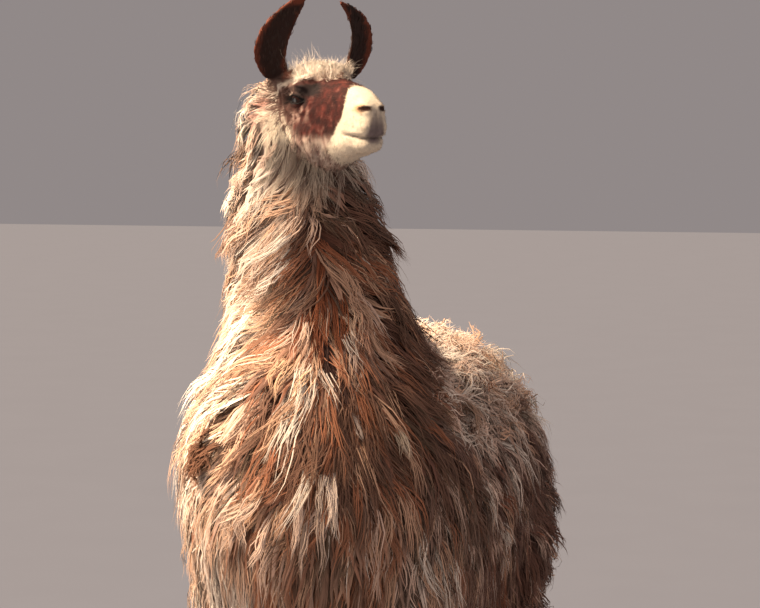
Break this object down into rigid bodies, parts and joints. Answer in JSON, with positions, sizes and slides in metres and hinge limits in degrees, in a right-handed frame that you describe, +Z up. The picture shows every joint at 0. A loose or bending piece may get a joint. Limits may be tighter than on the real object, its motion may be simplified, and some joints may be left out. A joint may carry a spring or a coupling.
{
  "type": "standing llama figure",
  "caption": "Still, life-size figure of a standing llama in full wool, head turned to its left, ears up, that stands on its own feet as a display animal.",
  "frame": {"origin": "on the floor, in the middle of the whole figure's box", "axes": "the llama faces -Y, its left side is +X, and +Z is up"},
  "size_m": [0.5332, 1.3694, 1.734],
  "materials": {
    "worn_horn": "dark worn horn",
    "wet_eye": "wet, nearly black",
    "short_dark_hair": "short dark brown hair with a rusty fringe",
    "face_hair": "short hair: maroon-brown patch round the eye, white muzzle and brow",
    "white_face_hair": "short white hair",
    "neck_wool": "long tan and brown wool with rusty locks",
    "body_wool": "long matted grey-brown wool",
    "tail_wool": "long brown wool",
    "leg_wool": "wool above the knee, short hair below",
    "short_leg_hair": "short pale hair"
  },
  "bodies": {
    "root": {"ear_left": "short_dark_hair", "ear_right": "short_dark_hair", "eye_left": "wet_eye", "eye_right": "wet_eye", "forefoot_left": "short_leg_hair", "forefoot_right": "short_leg_hair", "foreleg_left": "leg_wool", "foreleg_right": "leg_wool", "head": "face_hair", "hindfoot_left": "short_leg_hair", "hindfoot_right": "short_leg_hair", "hindleg_left": "leg_wool", "hindleg_right": "leg_wool", "lower_jaw": "white_face_hair", "neck_lower": "neck_wool", "neck_upper": "neck_wool", "tail": "tail_wool", "toenail_fore_left_inner": "worn_horn", "toenail_fore_left_outer": "worn_horn", "toenail_fore_right_inner": "worn_horn", "toenail_fore_right_outer": "worn_horn", "toenail_hind_left_inner": "worn_horn", "toenail_hind_left_outer": "worn_horn", "toenail_hind_right_inner": "worn_horn", "toenail_hind_right_outer": "worn_horn", "trunk_fore": "body_wool", "trunk_hind": "body_wool", "trunk_middle": "body_wool"}
  },
  "joints": []
}
